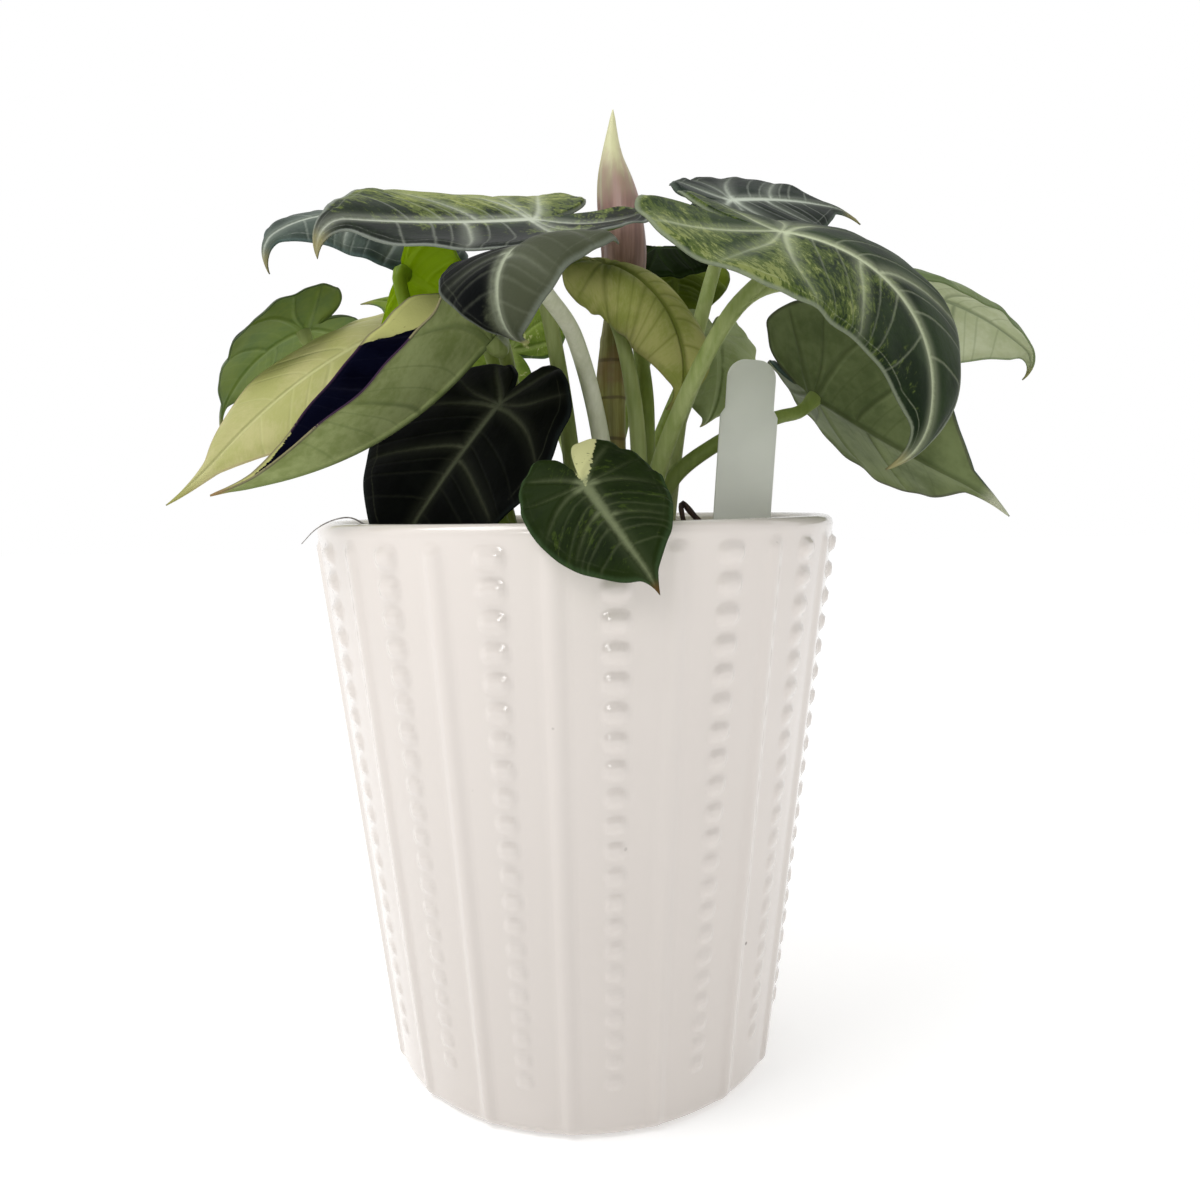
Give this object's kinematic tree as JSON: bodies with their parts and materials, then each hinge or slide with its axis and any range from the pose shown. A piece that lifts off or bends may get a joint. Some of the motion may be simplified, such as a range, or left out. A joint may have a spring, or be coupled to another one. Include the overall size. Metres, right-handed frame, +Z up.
{
  "type": "potted alocasia house plant",
  "caption": "Small aroid house plant with thick dark heart-shaped leaves on slim stems, one closed flower spathe and a bare plant label, in a tapered white pot with beaded ribs.",
  "frame": {"origin": "centre of the pot's foot, on the surface it stands on", "axes": "+Z up along the pot's axis, -Y towards the front of the plant, +X to its right"},
  "size_m": [0.2651, 0.1881, 0.2595],
  "materials": {
    "glaze": "gloss",
    "soil": "matte",
    "blade": "satin",
    "petiole": "satin",
    "stalk": "satin",
    "spathe": "satin",
    "label": "satin",
    "sheath": "matte"
  },
  "bodies": {
    "root": {"pot": "glaze", "soil": "soil", "flower_stalk": "stalk", "spathe": "spathe", "label": "label", "dried_sheath": "sheath", "blade_big_right": "blade", "petiole_big_right": "petiole", "blade_top_left": "blade", "petiole_top_left": "petiole", "blade_back_right": "blade", "petiole_back_right": "petiole", "blade_front_middle": "blade", "petiole_front_middle": "petiole", "blade_front_black": "blade", "petiole_front_black": "petiole", "blade_over_rim": "blade", "petiole_over_rim": "petiole", "blade_low_right": "blade", "petiole_low_right": "petiole", "blade_far_right": "blade", "petiole_far_right": "petiole", "blade_low_left": "blade", "petiole_low_left": "petiole", "blade_back_left": "blade", "petiole_back_left": "petiole", "blade_folded_left": "blade", "petiole_folded_left": "petiole", "blade_pale_left": "blade", "petiole_pale_left": "petiole", "blade_behind_left": "blade", "petiole_behind_left": "petiole", "blade_bright_left": "blade", "petiole_bright_left": "petiole", "blade_behind_right": "blade", "petiole_behind_right": "petiole", "blade_small_back": "blade", "petiole_small_back": "petiole", "blade_bright_back": "blade", "petiole_bright_back": "petiole", "blade_rolled_middle": "blade", "petiole_rolled_middle": "petiole"}
  },
  "joints": []
}
